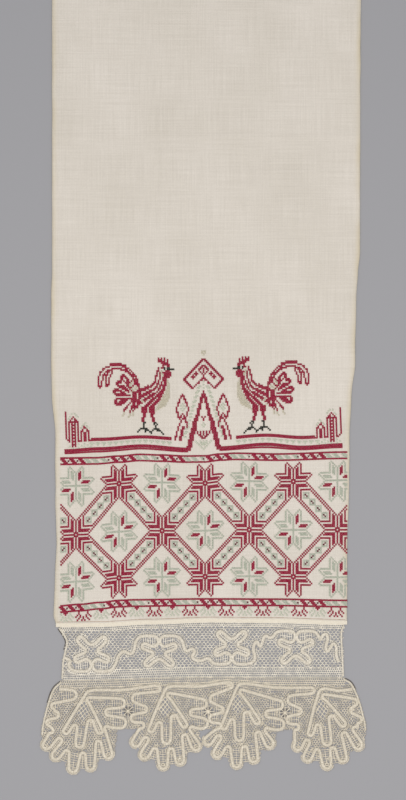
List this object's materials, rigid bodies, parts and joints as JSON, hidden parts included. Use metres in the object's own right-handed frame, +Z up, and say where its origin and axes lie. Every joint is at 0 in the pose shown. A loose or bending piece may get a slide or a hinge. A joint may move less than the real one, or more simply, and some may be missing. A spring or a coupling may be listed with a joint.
{
  "type": "embroidered linen towel end",
  "caption": "Flat linen towel end with cross-stitch bands, a straight lace insertion and a scalloped lace edging.",
  "frame": {"origin": "centre of the part's box, on the underside", "axes": "+X to the right across the towel seen from above, +Y up its length to the plain hemmed end, +Z up from the surface it lies on"},
  "size_m": [0.3948, 0.9734, 0.0025],
  "materials": {
    "linen": "plain woven natural linen, matt, with slubs",
    "cream_tape": "woven cotton tape, matt",
    "lace_thread": "linen thread net with a braid, matt"
  },
  "bodies": {
    "root": {"linen": "linen", "joining_tape": "cream_tape", "lace_insertion": "lace_thread", "lace_edging": "lace_thread"}
  },
  "joints": []
}
